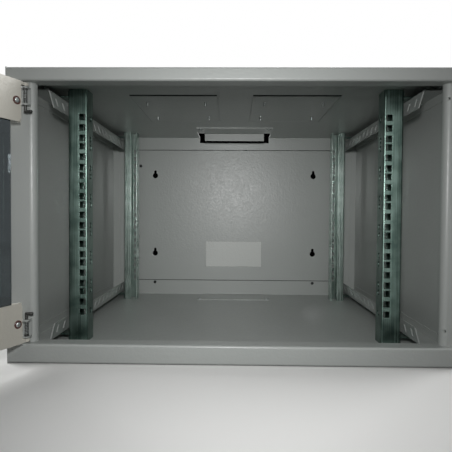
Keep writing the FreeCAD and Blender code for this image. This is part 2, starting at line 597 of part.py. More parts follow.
def make_screws():
    grip = "dims.rail_sheet + dims.bracket_sheet"
    members = []
    for side_name, side in (("left", -1), ("right", 1)):
        for up_name, up in (("upper", 1), ("lower", -1)):
            for end_name, y in (("front", FRONT_BRACKET_Y), ("rear", REAR_BRACKET_Y)):
                name = f"rail_screw_{end_name}_{up_name}_{side_name}"
                members.append(screw(name + "_web", f"{side} * ({RAIL_OUTER} + dims.bracket_sheet)", y,
                                     f"{up} * {BRACKET_SCREW_HEIGHT}", "-x" if side > 0 else "+x", grip))
                members.append(screw(name + "_beam", f"{side} * {BRACKET_SCREW_SIDE}", y,
                                     f"{up} * (dims.beam_height + dims.bracket_sheet)",
                                     "-z" if up > 0 else "+z", "dims.beam_sheet + dims.bracket_sheet"))
    gather("rail_screws", members)
    members = [screw(f"fan_screw_{index}", x, y, f"{TOP} + dims.fan_plate_sheet", "-z",
                     "dims.fan_plate_sheet + dims.sheet + dims.fan_screw_reach")
               for index, (x, y) in enumerate(fan_screw_spots(-1) + fan_screw_spots(1), 1)]
    gather("fan_screws", members)
    members = [screw(f"roof_entry_screw_{index}", x, y, f"{CEILING} - dims.entry_cover_sheet", "+z",
                     "dims.entry_cover_sheet + dims.sheet", "dims.entry_screw_head_radius", "dims.entry_screw_head")
               for index, (x, y, radius) in enumerate(roof_cover_holes(), 1)]
    members += [screw(f"floor_entry_screw_{index}", x, y, f"dims.entry_cover_sheet - {CEILING}", "-z",
                      "dims.entry_cover_sheet + dims.sheet", "dims.entry_screw_head_radius",
                      "dims.entry_screw_head")
                for index, (x, y, radius) in enumerate(floor_cover_holes(), 1)]
    gather("entry_screws", members)
    members = [screw(f"seam_screw_{index}", x, FLANGE_FACE, z, "+y", "dims.sheet + dims.back_sheet")
               for index, (x, z, radius) in enumerate(seam_screw_holes(), 1)]
    members.append(screw("earth_screw", "-dims.earth_screw_side", BACK, "dims.earth_screw_height", "+y",
                         "dims.back_sheet"))
    gather("back_panel_screws", members)


# The two hinges. Each has a bracket on the column, and a sprung pin that enters a block on the door.
def hinge_levels(up):
    """The far and near faces of a hinge bracket, counted from the door's end towards mid height."""
    end = DOOR_TOP if up > 0 else DOOR_BOTTOM
    far = f"({end} - {up} * dims.ear_offset)"
    near = f"({end} - {up} * (dims.ear_offset + dims.ear_span))"
    return end, far, near


def hinge_bracket(label, up):
    end, far, near = hinge_levels(up)
    low, high = (near, far) if up > 0 else (far, near)
    left = f"({AXIS_X} - dims.ear_half_width)"
    right = f"({AXIS_X} + dims.ear_half_width)"
    front = f"({AXIS_Y} - dims.ear_half_width)"
    body = new_body(label)
    pad(body, "XZ", "plate", rectangle(left, right, low, high), "dims.bracket_plate", f"-{COLUMN_FACE}")
    for name, level in (("lower_ear", low), ("upper_ear", f"{high} - dims.ear_sheet")):
        ear = pad(body, "XY", name, rectangle(left, right, front, COLUMN_FACE), "dims.ear_sheet", level)
        round_edges(body, name + "_round", ear.Profile[0], (0, 1), "dims.ear_half_width * 0.95")
    round_holes(body, "XY", "pin_hole", [(AXIS_X, AXIS_Y, "dims.pin_radius + dims.pin_fit")],
                "dims.ear_span + 2 * dims.ear_sheet", f"{high} + dims.ear_sheet")


def hinge_pin(label, up):
    """A round pin with a collar under the far ear, and a bent tail to pull it back by."""
    end, far, near = hinge_levels(up)
    tail_level = f"({near} - {up} * dims.pin_tail_drop)"
    way = "+z" if up > 0 else "-z"
    reach = "dims.ear_offset + dims.ear_span + dims.pin_tail_drop - dims.pin_tip"
    rod = place(cylinder(label + "_rod", "dims.pin_radius", reach), AXIS_X, AXIS_Y, tail_level, way)
    collar_start = f"{far} - {up} * (dims.ear_sheet + dims.pin_collar)"
    collar = place(cylinder(label + "_collar", "dims.pin_collar_radius", "dims.pin_collar"),
                   AXIS_X, AXIS_Y, collar_start, way)
    elbow = doc.addObject("Part::Sphere", label + "_elbow")
    elbow.setExpression("Radius", "dims.pin_radius")
    place(elbow, AXIS_X, AXIS_Y, tail_level)
    tail = place(cylinder(label + "_tail", "dims.pin_radius", "dims.pin_tail"),
                 AXIS_X, AXIS_Y, tail_level, "+x")
    fuse(label, [rod, collar, elbow, tail])


def hinge_spring(label, up):
    """The coil spring between the collar and the near ear, as a sleeve of its outer form."""
    end, far, near = hinge_levels(up)
    length = "dims.ear_span - 2 * dims.ear_sheet - dims.pin_collar - 2 * dims.spring_end_gap"
    start = f"{near} + {up} * (dims.ear_sheet + dims.spring_end_gap)"
    way = "+z" if up > 0 else "-z"
    outside = cylinder(label + "_outside", "dims.spring_radius", length)
    inside = cylinder(label + "_inside", "dims.spring_radius - dims.spring_wall", length)
    place(cut(label, outside, inside), AXIS_X, AXIS_Y, start, way)


def clamp_band(up):
    """The height range of the clamp plates at one end of the door."""
    if up > 0:
        return f"({DOOR_TOP} - dims.clamp_height)", DOOR_TOP
    return DOOR_BOTTOM, f"({DOOR_BOTTOM} + dims.clamp_height)"


def bolt_spot(up):
    low, high = clamp_band(up)
    return "dims.clamp_start + dims.bolt_offset", f"({low} + {high}) / 2"


def clamp_plate(label, up, face):
    """One painted clamp plate. face is 1 for the plate on the cabinet side of the glass."""
    low, high = clamp_band(up)
    body = new_body(label)
    start = STACK if face > 0 else f"({STACK} - dims.clamp_sheet)"
    offset = f"-{STACK}" if face > 0 else f"({STACK} - dims.clamp_sheet)"
    plate = pad(body, "XZ", "plate", rectangle("dims.clamp_start", "dims.clamp_start + dims.clamp_length",
                                               low, high), "dims.clamp_sheet", offset)
    round_edges(body, "corners", plate.Profile[0], (0, 1) if up > 0 else (2, 3), "dims.clamp_corner")
    x, z = bolt_spot(up)
    round_holes(body, "XZ", "bolt_hole", [(x, z, "dims.bolt_radius + dims.pin_fit")], "3 * dims.clamp_sheet",
                f"{offset} + 2 * dims.clamp_sheet")
    hinge_place(body)


def pivot_block(label, up):
    """The spacer between two clamp plates, with the tab that turns on the hinge pin."""
    low, high = clamp_band(up)
    half = "(dims.glass / 2 + dims.gasket)"
    body = new_body(label)
    pad(body, "XY", "spacer", rectangle("dims.clamp_start", "dims.clamp_start + dims.pivot_length",
                                        f"-{half}", half), "dims.clamp_height", low)
    level = f"{high} - dims.pivot_tab" if up > 0 else low
    pad(body, "XY", "tab", rectangle("0", "dims.clamp_start", f"-{half}", half), "dims.pivot_tab", level)
    sketch = new_sketch(body, "XY", "eye", level)
    add_circle(sketch, "0", "0", "dims.pivot_radius")
    extrude(body, "Pad", sketch, "dims.pivot_tab")
    round_holes(body, "XY", "pin_hole", [("0", "0", "dims.pin_radius + dims.pin_fit")],
                "3 * dims.pivot_tab", f"{level} + 2 * dims.pivot_tab")
    x, z = bolt_spot(up)
    round_holes(body, "XZ", "bolt_hole", [(x, z, "dims.bolt_radius + dims.pin_fit")], "3 * dims.glass",
                "1.5 * dims.glass")
    hinge_place(body)


def door_fasteners():
    """Bolts, washers and nuts of the two hinges, and the rubber pads between clamp plates and glass."""
    bolts, washers, nuts, pads = [], [], [], []
    for name, up in (("top", 1), ("bottom", -1)):
        x, z = bolt_spot(up)
        face = f"({STACK} + dims.washer_sheet)"
        bolts.append(screw(f"hinge_bolt_{name}", x, face, z, "-y",
                           f"{face} + {STACK} + dims.bolt_nut", "dims.bolt_head_radius", "dims.bolt_head",
                           "dims.bolt_radius"))
        washer = cylinder(f"hinge_washer_{name}_solid", "dims.washer_radius", "dims.washer_sheet")
        nut = hexagon(f"hinge_nut_{name}_solid", "dims.bolt_nut_radius", "dims.bolt_nut")
        for kind, solid, length, start, store in (
                ("washer", washer, "dims.washer_sheet", STACK, washers),
                ("nut", nut, "dims.bolt_nut", f"-{STACK} - dims.bolt_nut", nuts)):
            bore = cylinder(f"hinge_{kind}_{name}_bore", "dims.bolt_radius + dims.pin_fit", length)
            store.append(place(cut(f"hinge_{kind}_{name}", solid, bore), x, start, z, "+y"))
        low, high = clamp_band(up)
        for side_name, start in (("inner", "dims.glass / 2"), ("outer", "-dims.glass / 2 - dims.gasket")):
            block = doc.addObject("Part::Box", f"glass_pad_{name}_{side_name}")
            block.setExpression("Length", "dims.clamp_start + dims.clamp_length - dims.glass_start")
            block.setExpression("Width", "dims.gasket")
            block.setExpression("Height", "dims.clamp_height")
            pads.append(place(block, "dims.glass_start", start, low))
    for label, members in (("hinge_bolts", bolts), ("hinge_washers", washers), ("hinge_nuts", nuts),
                           ("glass_pads", pads)):
        hinge_place(gather(label, members))


def door_glass():
    """The frameless pane, with rounded corners and the round hole of the lock."""
    body = new_body("door_glass")
    pane = pad(body, "XZ", "pane", rectangle("dims.glass_start", GLASS_END, DOOR_BOTTOM, DOOR_TOP), "dims.glass",
               "-dims.glass / 2")
    round_edges(body, "corners", pane.Profile[0], (0, 1, 2, 3), "dims.glass_corner")
    round_holes(body, "XZ", "lock_hole", [(LOCK_X, "dims.lock_centre", "dims.lock_hole_radius")], "dims.glass",
                "dims.glass / 2")
    hinge_place(body)


def lock_parts():
    """A quarter turn lock: flanged body and nut on the glass, and a core that turns the cam."""
    outside = "(dims.glass / 2 + dims.lock_flange)"
    # the cam turns behind the column's return
    inside = f"({COLUMN_FACE} + dims.column_return + dims.cam_clearance - {AXIS_Y} - dims.core_fit)"
    centre = "dims.lock_centre"
    flange = place(cylinder("lock_flange", "dims.lock_flange_radius", "dims.lock_flange"),
                   LOCK_X, f"-{outside}", centre, "+y")
    barrel = place(cylinder("lock_barrel", "dims.lock_body_radius", f"{outside} + {inside}"),
                   LOCK_X, f"-{outside}", centre, "+y")
    bore = place(cylinder("lock_bore", "dims.core_radius + dims.core_fit", f"{outside} + {inside}"),
                 LOCK_X, f"-{outside}", centre, "+y")
    hinge_place(cut("lock_body", fuse("lock_casing", [flange, barrel]), bore))
    nut = hexagon("lock_nut_solid", "dims.lock_nut_radius", "dims.lock_nut")
    thread = cylinder("lock_nut_bore", "dims.lock_body_radius + dims.core_fit", "dims.lock_nut")
    hinge_place(gather("lock_nut", [place(cut("lock_nut_ring", nut, thread), LOCK_X, "dims.glass / 2", centre, "+y")]))
    core = place(cylinder("lock_core_rod", "dims.core_radius", f"{outside} + {inside} + dims.core_nose"),
                 LOCK_X, f"-{outside} - dims.core_nose", centre, "+y")
    slot = doc.addObject("Part::Box", "lock_key_slot")
    slot.setExpression("Length", "dims.key_slot_width")
    slot.setExpression("Width", "dims.key_slot_depth")
    slot.setExpression("Height", "dims.key_slot_length")
    place(slot, f"{LOCK_X} - dims.key_slot_width / 2", f"-{outside} - dims.core_nose",
          f"{centre} - dims.key_slot_length / 2")
    hinge_place(cut("lock_core", core, slot))
    cam = new_body("lock_cam")
    start = f"({inside} + dims.core_fit)"
    plate = pad(cam, "XZ", "blade", rectangle(f"{LOCK_X} - dims.cam_half_width", f"{LOCK_X} + dims.cam_half_width",
                                              f"{centre} - dims.cam_length", f"{centre} + dims.cam_half_width"),
                "dims.cam_sheet", f"-{start} - dims.cam_sheet")
    round_edges(cam, "ends", plate.Profile[0], (0, 1, 2, 3), "dims.cam_half_width * 0.9")
    round_holes(cam, "XZ", "hole", [(LOCK_X, centre, "dims.screw_radius + dims.core_fit")], "3 * dims.cam_sheet",
                f"-{start} + dims.cam_sheet")
    hinge_place(cam)
    hinge_place(gather("cam_screw", [screw("cam_screw_solid", LOCK_X, f"{start} + dims.cam_sheet", centre, "-y",
                                           "dims.cam_sheet", "dims.cam_screw_radius", "dims.cam_screw_head")]))


make_roof()
make_floor()
side_wall("side_wall_left", -1)
side_wall("side_wall_right", 1)
make_back_panel()
make_knockout()
for side_name, side in (("left", -1), ("right", 1)):
    rail(f"rail_front_{side_name}", side, 1)
    rail(f"rail_rear_{side_name}", side, -1)
    fan_plate(f"fan_plate_{side_name}", side)
    for up_name, up in (("upper", 1), ("lower", -1)):
        side_beam(f"side_beam_{up_name}_{side_name}", side, up)
        rail_bracket(f"rail_bracket_front_{up_name}_{side_name}", side, up, FRONT_BRACKET_Y)
        rail_bracket(f"rail_bracket_rear_{up_name}_{side_name}", side, up, REAR_BRACKET_Y)
entry_covers()
make_screws()
for name, up in (("top", 1), ("bottom", -1)):
    hinge_bracket(f"hinge_bracket_{name}", up)
    hinge_pin(f"hinge_pin_{name}", up)
    hinge_spring(f"hinge_spring_{name}", up)
    clamp_plate(f"clamp_plate_inner_{name}", up, 1)
    clamp_plate(f"clamp_plate_outer_{name}", up, -1)
    pivot_block(f"pivot_block_{name}", up)
door_fasteners()
door_glass()
lock_parts()
doc.recompute()

# Only whole, valid pieces are written.
for item in doc.Objects:
    if "Invalid" in item.State or "Error" in item.State:
        raise RuntimeError(f"{item.Label} failed: {item.State}")
used = {child.Name for item in doc.Objects if item.TypeId.startswith("Part::") for child in item.OutList}
nodes = [item for item in doc.Objects
         if item.TypeId == "PartDesign::Body" or (item.TypeId.startswith("Part::") and item.Name not in used)]
os.makedirs("parts", exist_ok=True)
for node in nodes:
    if node.Shape.isNull() or not node.Shape.isValid() or not node.Shape.Solids:
        raise RuntimeError(f"{node.Label} is not a valid solid")
for node in nodes:
    node.Shape.exportStep(f"parts/{node.Label}.step")
print(f"{len(nodes)} pieces")
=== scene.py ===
import math

import bmesh
import bpy
import numpy as np
from mathutils import Matrix, Vector


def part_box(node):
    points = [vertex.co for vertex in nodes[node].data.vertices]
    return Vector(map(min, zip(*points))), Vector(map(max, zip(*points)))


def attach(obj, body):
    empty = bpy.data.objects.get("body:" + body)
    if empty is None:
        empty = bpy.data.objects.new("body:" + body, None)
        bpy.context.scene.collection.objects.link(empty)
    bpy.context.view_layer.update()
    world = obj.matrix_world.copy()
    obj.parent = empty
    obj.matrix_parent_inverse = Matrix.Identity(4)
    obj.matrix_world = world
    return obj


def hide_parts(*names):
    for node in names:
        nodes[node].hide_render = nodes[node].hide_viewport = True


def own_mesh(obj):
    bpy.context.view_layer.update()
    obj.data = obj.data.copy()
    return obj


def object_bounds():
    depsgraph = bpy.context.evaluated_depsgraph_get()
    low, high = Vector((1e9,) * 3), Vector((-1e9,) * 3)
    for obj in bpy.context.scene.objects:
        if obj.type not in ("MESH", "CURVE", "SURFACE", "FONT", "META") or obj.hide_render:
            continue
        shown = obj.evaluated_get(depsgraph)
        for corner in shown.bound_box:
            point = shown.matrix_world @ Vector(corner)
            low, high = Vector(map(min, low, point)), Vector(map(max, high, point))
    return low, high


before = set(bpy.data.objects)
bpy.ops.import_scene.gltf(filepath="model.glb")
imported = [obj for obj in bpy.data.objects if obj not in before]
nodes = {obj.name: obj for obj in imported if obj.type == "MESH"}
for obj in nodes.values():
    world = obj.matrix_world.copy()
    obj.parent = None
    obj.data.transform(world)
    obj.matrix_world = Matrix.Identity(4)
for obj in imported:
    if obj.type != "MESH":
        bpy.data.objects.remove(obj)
cad_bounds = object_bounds()
MM = 0.001

# ---- Welded body ----
# Roof, floor, side walls and back panel are 1.5 to 2 mm cold rolled sheet, folded, spot welded and then
# coated together with light grey epoxy polyester powder, which flows out to a fine grain with a soft gloss.
BODY = ("back_panel", "floor_panel", "roof_panel", "side_wall_left", "side_wall_right")
COAT_LIGHT = "#b1b5b2"
COAT_DARK = "#a9adaa"
COAT_ROUGHNESS = 0.35
# the real grain is about 0.8 mm, and is drawn coarser so that it still shows at the picture's size
COAT_GRAIN = 4 * MM
COAT_FLOW = 9 * MM
COAT_CLOUDS = 160 * MM


def colour(code):
    """An sRGB hex code as the linear colour that a shader takes."""
    channels = [int(code[start:start + 2], 16) / 255 for start in (1, 3, 5)]
    return tuple(c / 12.92 if c <= 0.04045 else ((c + 0.055) / 1.055) ** 2.4 for c in channels) + (1.0,)


def add_node(tree, kind, inputs=(), **settings):
    """One node with its settings. An input is given a value, or linked where a socket is given."""
    node = tree.nodes.new(kind)
    for name, value in settings.items():
        setattr(node, name, value)
    for name, value in dict(inputs).items():
        if isinstance(value, bpy.types.NodeSocket):
            tree.links.new(value, node.inputs[name])
        else:
            node.inputs[name].default_value = value
    return node


def new_material(name):
    """An empty material with its tree, and its place coordinates in metres."""
    material = bpy.data.materials.new(name)
    material.use_nodes = True
    tree = material.node_tree
    tree.nodes.clear()
    place = add_node(tree, "ShaderNodeTexCoord").outputs["Object"]
    return material, tree, place


def finish_material(tree, shader):
    """Lead the last shader to the surface."""
    add_node(tree, "ShaderNodeOutputMaterial", {"Surface": shader.outputs[0]})


def dress(material, names):
    """Give CAD nodes a material, each in its own slots."""
    for name in names:
        for slot in nodes[name].material_slots:
            slot.material = material


def powder_coat(name, light, dark, roughness):
    """Powder paint: an even colour, and a low grain that breaks up the gloss."""
    material, tree, place = new_material(name)
    clouds = add_node(tree, "ShaderNodeTexNoise", {"Vector": place, "Scale": 1 / COAT_CLOUDS, "Detail": 2.0})
    tone = add_node(tree, "ShaderNodeMix", {"Factor": clouds.outputs[0], 6: colour(dark), 7: colour(light)},
                    data_type="RGBA")
    grain = add_node(tree, "ShaderNodeTexNoise", {"Vector": place, "Scale": 1 / COAT_GRAIN, "Detail": 3.0,
                                                  "Roughness": 0.6})
    flow = add_node(tree, "ShaderNodeTexNoise", {"Vector": place, "Scale": 1 / COAT_FLOW, "Detail": 1.0})
    gloss = add_node(tree, "ShaderNodeMapRange", {"Value": grain.outputs[0], "From Min": 0.3, "From Max": 0.7,
                                                  "To Min": roughness - 0.06, "To Max": roughness + 0.06})
    peel = add_node(tree, "ShaderNodeBump", {"Height": flow.outputs[0], "Strength": 0.3,
                                             "Distance": 0.25 * MM})
    bump = add_node(tree, "ShaderNodeBump", {"Height": grain.outputs[0], "Strength": 0.8,
                                             "Distance": 0.4 * MM, "Normal": peel.outputs[0]})
    shader = add_node(tree, "ShaderNodeBsdfPrincipled",
                      {"Base Color": tone.outputs[2], "Roughness": gloss.outputs[0], "IOR": 1.5,
                       "Normal": bump.outputs[0]})
    finish_material(tree, shader)
    return material


body_coat = powder_coat("powder_coated_steel", COAT_LIGHT, COAT_DARK, COAT_ROUGHNESS)
dress(body_coat, BODY)

# ---- Lap seams of the back panel ----
# The rear flanges of the roof and the floor lap the back panel, and a dark line shows along each free edge,
# where shade falls into the joint. Each line is a thin strip of painted shade that lies against the panel.
SEAM_HEIGHT = 1.3 * MM
SEAM_DEPTH = 0.25 * MM
SEAM_SPAN = 470 * MM
SEAM_ROUND = 0.4 * SEAM_DEPTH
SEAM_MOTTLE = 12 * MM


def mottled(name, dark, light, patch, roughness, detail=4.0):
    """A dull surface whose tone wanders a little, in patches of the given size."""
    material, tree, place = new_material(name)
    patches = add_node(tree, "ShaderNodeTexNoise", {"Vector": place, "Scale": 1 / patch, "Detail": detail})
    tone = add_node(tree, "ShaderNodeMix", {"Factor": patches.outputs[0], 6: colour(dark), 7: colour(light)},
                    data_type="RGBA")
    finish_material(tree, add_node(tree, "ShaderNodeBsdfPrincipled",
                                   {"Base Color": tone.outputs[2], "Roughness": roughness, "IOR": 1.5}))
    return material


def mesh_object(name, form):
    """Put a finished form into the scene."""
    mesh = bpy.data.meshes.new(name)
    form.to_mesh(mesh)
    form.free()
    item = bpy.data.objects.new(name, mesh)
    bpy.context.scene.collection.objects.link(item)
    return item


def smooth(item, degrees=32):
    """Round faces look round, and edges sharper than the angle stay crisp."""
    item.data.polygons.foreach_set("use_smooth", [True] * len(item.data.polygons))
    item.data.set_sharp_from_angle(angle=math.radians(degrees))


def rounded_strip(name, middle, size, radius, material):
    """A long strip with rounded edges, which belongs to the cabinet."""
    form = bmesh.new()
    made = bmesh.ops.create_cube(form, size=1)["verts"]
    bmesh.ops.scale(form, vec=size, verts=made)
    bmesh.ops.translate(form, vec=middle, verts=made)
    bmesh.ops.bevel(form, geom=list(form.edges), offset=radius, segments=3, affect="EDGES", profile=0.5)
    item = mesh_object(name, form)
    item.data.materials.append(material)
    smooth(item)
    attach(item, "cabinet")


# the strips' near black is painted shade for the joints
lap_shade = mottled("painted_lap_seam_shade", "#1f201f", "#363836", SEAM_MOTTLE, 0.8, detail=3.0)
panel_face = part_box("back_panel")[0].y
for level, height in (("upper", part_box("roof_panel")[0].z - SEAM_HEIGHT / 2),
                      ("lower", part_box("floor_panel")[1].z + SEAM_HEIGHT / 2)):
    rounded_strip(f"lap_seam_shade_{level}", (0, panel_face - SEAM_DEPTH / 2, height),
                  (SEAM_SPAN, SEAM_DEPTH, SEAM_HEIGHT), SEAM_ROUND, lap_shade)

# ---- Side beams ----
# Four slotted beams run along the side walls and carry the rails. They are folded from 1.5 mm sheet with
# slanted ends, spot welded to the walls, and coated with the body.
dress(body_coat, [f"side_beam_{level}_{side}" for level in ("upper", "lower") for side in ("left", "right")])

# ---- Fan plates, entry covers and knockout ----
# Flat and once folded steel plates blank the fan openings and the cable entries, and a thin plate fills the
# opening in the back. They are cut and folded cold, and powder coated like the body.
dress(body_coat, ("fan_plate_left", "fan_plate_right", "roof_entry_cover", "floor_entry_cover"))
# the knockout looks lighter than the panel round it in the photograph, so its coat is lighter here
KNOCKOUT_LIGHT = "#cfd2ce"
KNOCKOUT_DARK = "#c6c9c5"
KNOCKOUT_ROUGHNESS = 0.4
knockout_coat = powder_coat("light_powder_coated_steel", KNOCKOUT_LIGHT, KNOCKOUT_DARK, KNOCKOUT_ROUGHNESS)
dress(knockout_coat, ["knockout_plate"])

# ---- Painted shade in the fan slots ----
# A black line runs along the front of each fan opening, where shade falls into the slot. A thin black strip
# of
# painted shade stands for it: it lies under the plate's lid, in the slot before the plate's plug.
FAN_MARGIN = 14 * MM
FAN_SLOT = 9 * MM
SLOT_SHADE_FIT = 0.3 * MM
SLOT_SHADE_ROUND = 0.4 * MM
SLOT_SHADE_CELL = 1.2 * MM
# the strip's near black is painted shade
SLOT_SHADE_DARK = "#0b0b0b"
SLOT_SHADE_LIGHT = "#161616"
slot_shade_paint, tree, place = new_material("painted_fan_slot_shade")
cells = add_node(tree, "ShaderNodeTexVoronoi", {"Vector": place, "Scale": 1 / SLOT_SHADE_CELL})
tone = add_node(tree, "ShaderNodeMix",
                {"Factor": cells.outputs[0], 6: colour(SLOT_SHADE_DARK), 7: colour(SLOT_SHADE_LIGHT)}, data_type="RGBA")
finish_material(tree, add_node(tree, "ShaderNodeBsdfPrincipled",
                               {"Base Color": tone.outputs[2], "Roughness": 0.95, "IOR": 1.4}))
roof_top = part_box("roof_panel")[1].z
for side in ("left", "right"):
    low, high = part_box(f"fan_plate_{side}")
    depth = roof_top - low.z
    middle = ((low.x + high.x) / 2, low.y + FAN_MARGIN + FAN_SLOT / 2, roof_top - depth / 2)
    size = (high.x - low.x - 2 * FAN_MARGIN - 2 * SLOT_SHADE_FIT, FAN_SLOT - 2 * SLOT_SHADE_FIT, depth - 2 * SLOT_SHADE_FIT)
    rounded_strip(f"fan_slot_shade_strip_{side}", middle, size, SLOT_SHADE_ROUND, slot_shade_paint)

# ---- Rack rails ----
# Four C sections rolled from 2 mm strip, with punched square holes for cage nuts. They are zinc plated with a
# clear blue-green passivation, so they are metallic, faintly streaked along the rolling, and grey-green.
FRONT_RAILS = ("rail_front_left", "rail_front_right")
REAR_RAILS = ("rail_rear_left", "rail_rear_right")
BRACKETS = [f"rail_bracket_{place}_{level}_{side}" for place in ("front", "rear")
            for level in ("upper", "lower") for side in ("left", "right")]
ZINC_LIGHT = "#80958d"
ZINC_DARK = "#546861"
ZINC_ROUGHNESS = 0.34
# the rear colours are a lit copy of the same zinc, painted light
REAR_ZINC_LIGHT = "#c3d2cb"
REAR_ZINC_DARK = "#9db0a8"
REAR_ZINC_ROUGHNESS = 0.3
# punching and rolling leave rounded edges, which catch the light
EDGE_ROUND = 1.1 * MM
ROLLING_LINE = 1.6 * MM
ROLLING_RUN = 140 * MM
ZINC_PATCH = 24 * MM


def plated_steel(name, light, dark, roughness, streaks):
    """Plated steel: a metal whose colour and gloss vary, along the way it was rolled where it has streaks."""
    material, tree, place = new_material(name)
    stretch = [1 / ROLLING_LINE, 1 / ROLLING_LINE, 1 / ROLLING_RUN] if streaks else [1 / ROLLING_LINE] * 3
    rolled = add_node(tree, "ShaderNodeMapping", {"Vector": place, "Scale": stretch})
    lines = add_node(tree, "ShaderNodeTexNoise", {"Vector": rolled.outputs[0], "Scale": 1.0, "Detail": 2.0})
    patches = add_node(tree, "ShaderNodeTexNoise", {"Vector": place, "Scale": 1 / ZINC_PATCH, "Detail": 3.0})
    both = add_node(tree, "ShaderNodeMath", {0: lines.outputs[0], 1: patches.outputs[0]},
                    operation="MULTIPLY")
    blend = add_node(tree, "ShaderNodeMapRange", {"Value": both.outputs[0], "From Min": 0.15,
                                                  "From Max": 0.35})
    tone = add_node(tree, "ShaderNodeMix", {"Factor": blend.outputs[0], 6: colour(dark), 7: colour(light)},
                    data_type="RGBA")
    gloss = add_node(tree, "ShaderNodeMapRange", {"Value": lines.outputs[0], "From Min": 0.3, "From Max": 0.7,
                                                  "To Min": roughness - 0.07, "To Max": roughness + 0.07})
    edges = add_node(tree, "ShaderNodeBevel", {"Radius": EDGE_ROUND}, samples=6)
    bump = add_node(tree, "ShaderNodeBump", {"Height": lines.outputs[0], "Strength": 0.25,
                                             "Distance": 0.05 * MM, "Normal": edges.outputs[0]})
    shader = add_node(tree, "ShaderNodeBsdfPrincipled",
                      {"Base Color": tone.outputs[2], "Metallic": 1.0, "Roughness": gloss.outputs[0],
                       "Normal": bump.outputs[0]})
    finish_material(tree, shader)
    return material


rail_zinc = plated_steel("passivated_zinc_plate", ZINC_LIGHT, ZINC_DARK, ZINC_ROUGHNESS, True)
dress(rail_zinc, FRONT_RAILS)
dress(rail_zinc, BRACKETS)
# the rear pair looks lighter, so it gets a lighter copy of the same plating here: painted light for how the
# light falls on it
rear_lit_zinc = plated_steel("lit_copy_of_zinc_plate", REAR_ZINC_LIGHT, REAR_ZINC_DARK,
                         REAR_ZINC_ROUGHNESS, True)
dress(rear_lit_zinc, REAR_RAILS)

# ---- Screws ----
# Cold headed pan head machine screws with a cross recess hold the brackets, fan plates, entry covers and back
# panel. They have bright zinc plate, apart from the small ones of the back panel, which are blackened.
SCREW_GROUPS = ("rail_screws", "fan_screws", "entry_screws", "back_panel_screws")
TURN_STEPS = 28
RECESS_DEPTH = 0.62
RECESS_WIDTH = 0.22
RECESS_REACH = 0.62
SHANK_CHAMFER = 0.3 * MM
# a point of the plain CAD screw lies on the head's rim, or on the shank, by its share of the widest radius
RIM_SHARE = 0.98
SHANK_SHARES = (0.1, 0.9)
# each screw was driven home to another angle
FIRST_SPIN = 0.6
SPIN_PER_POINT = 0.9 / 97


def loose_parts(name):
    """The corner points of each separate solid in a CAD node, as arrays in metres."""
    mesh = nodes[name].data
    points = np.array([v.co for v in mesh.vertices])
    # points at one place belong together, though the exported faces don't share them
    keys = {}
    same = [keys.setdefault(tuple(np.round(p, 6)), len(keys)) for p in points]
    parent = list(range(len(keys)))

    def root(i):
        while parent[i] != i:
            parent[i] = parent[parent[i]]
            i = parent[i]
        return i

    for a, b in [edge.vertices for edge in mesh.edges]:
        parent[root(same[a])] = root(same[b])
    groups = {}
    for index, point in zip(same, points):
        groups.setdefault(root(index), []).append(point)
    return [np.array(group) for group in groups.values()]


def turned(profile, steps=TURN_STEPS):
    """A closed solid turned round Z from (radius, height) points that start and end on the axis."""
    form = bmesh.new()
    rings = []
    for radius, height in profile:
        if radius == 0:
            rings.append([form.verts.new((0, 0, height))])
        else:
            rings.append([form.verts.new((radius * math.cos(2 * math.pi * i / steps),
                                          radius * math.sin(2 * math.pi * i / steps), height))
                          for i in range(steps)])
    for low, high in zip(rings, rings[1:]):
        for i in range(steps):
            after = i + 1
            corners = [low[i % len(low)], low[after % len(low)], high[after % len(high)], high[i % len(high)]]
            form.faces.new(list(dict.fromkeys(corners)))
    bmesh.ops.recalc_face_normals(form, faces=form.faces)
    return form


def apply_modifiers(item):
    """Keep the mesh as its modifiers leave it."""
    graph = bpy.context.evaluated_depsgraph_get()
    mesh = bpy.data.meshes.new_from_object(item.evaluated_get(graph))
    item.modifiers.clear()
    item.data = mesh


def recessed_screw(head_radius, head, shank_radius, shank):
    """A pan head screw along Z: it bears at zero, its head is below and its shank above."""
    profile = [(0, -head), (head_radius * 0.55, -head * 0.97), (head_radius * 0.82, -head * 0.8),
               (head_radius * 0.97, -head * 0.45), (head_radius, -head * 0.12), (head_radius * 0.97, 0),
               (shank_radius, 0), (shank_radius, shank - SHANK_CHAMFER), (shank_radius * 0.75, shank),
               (0, shank)]
    item = mesh_object("screw_blank", turned(profile))
    cutter = bmesh.new()
    for turn in (0, math.pi / 2):
        made = bmesh.ops.create_cube(cutter, size=1)["verts"]
        bmesh.ops.scale(cutter, vec=(2 * RECESS_REACH * head_radius, RECESS_WIDTH * head_radius,
                                     2 * RECESS_DEPTH * head), verts=made)
        bmesh.ops.rotate(cutter, cent=(0, 0, 0), matrix=Matrix.Rotation(turn, 3, "Z"), verts=made)
        bmesh.ops.translate(cutter, vec=(0, 0, -head), verts=made)
    tool = mesh_object("recess_tool", cutter)
    carve = item.modifiers.new("recess", "BOOLEAN")
    carve.object = tool
    carve.operation = "DIFFERENCE"
    carve.solver = "EXACT"
    carve.use_self = True
    apply_modifiers(item)
    bpy.data.objects.remove(tool)
    mesh = item.data
    bpy.data.objects.remove(item)
    return mesh


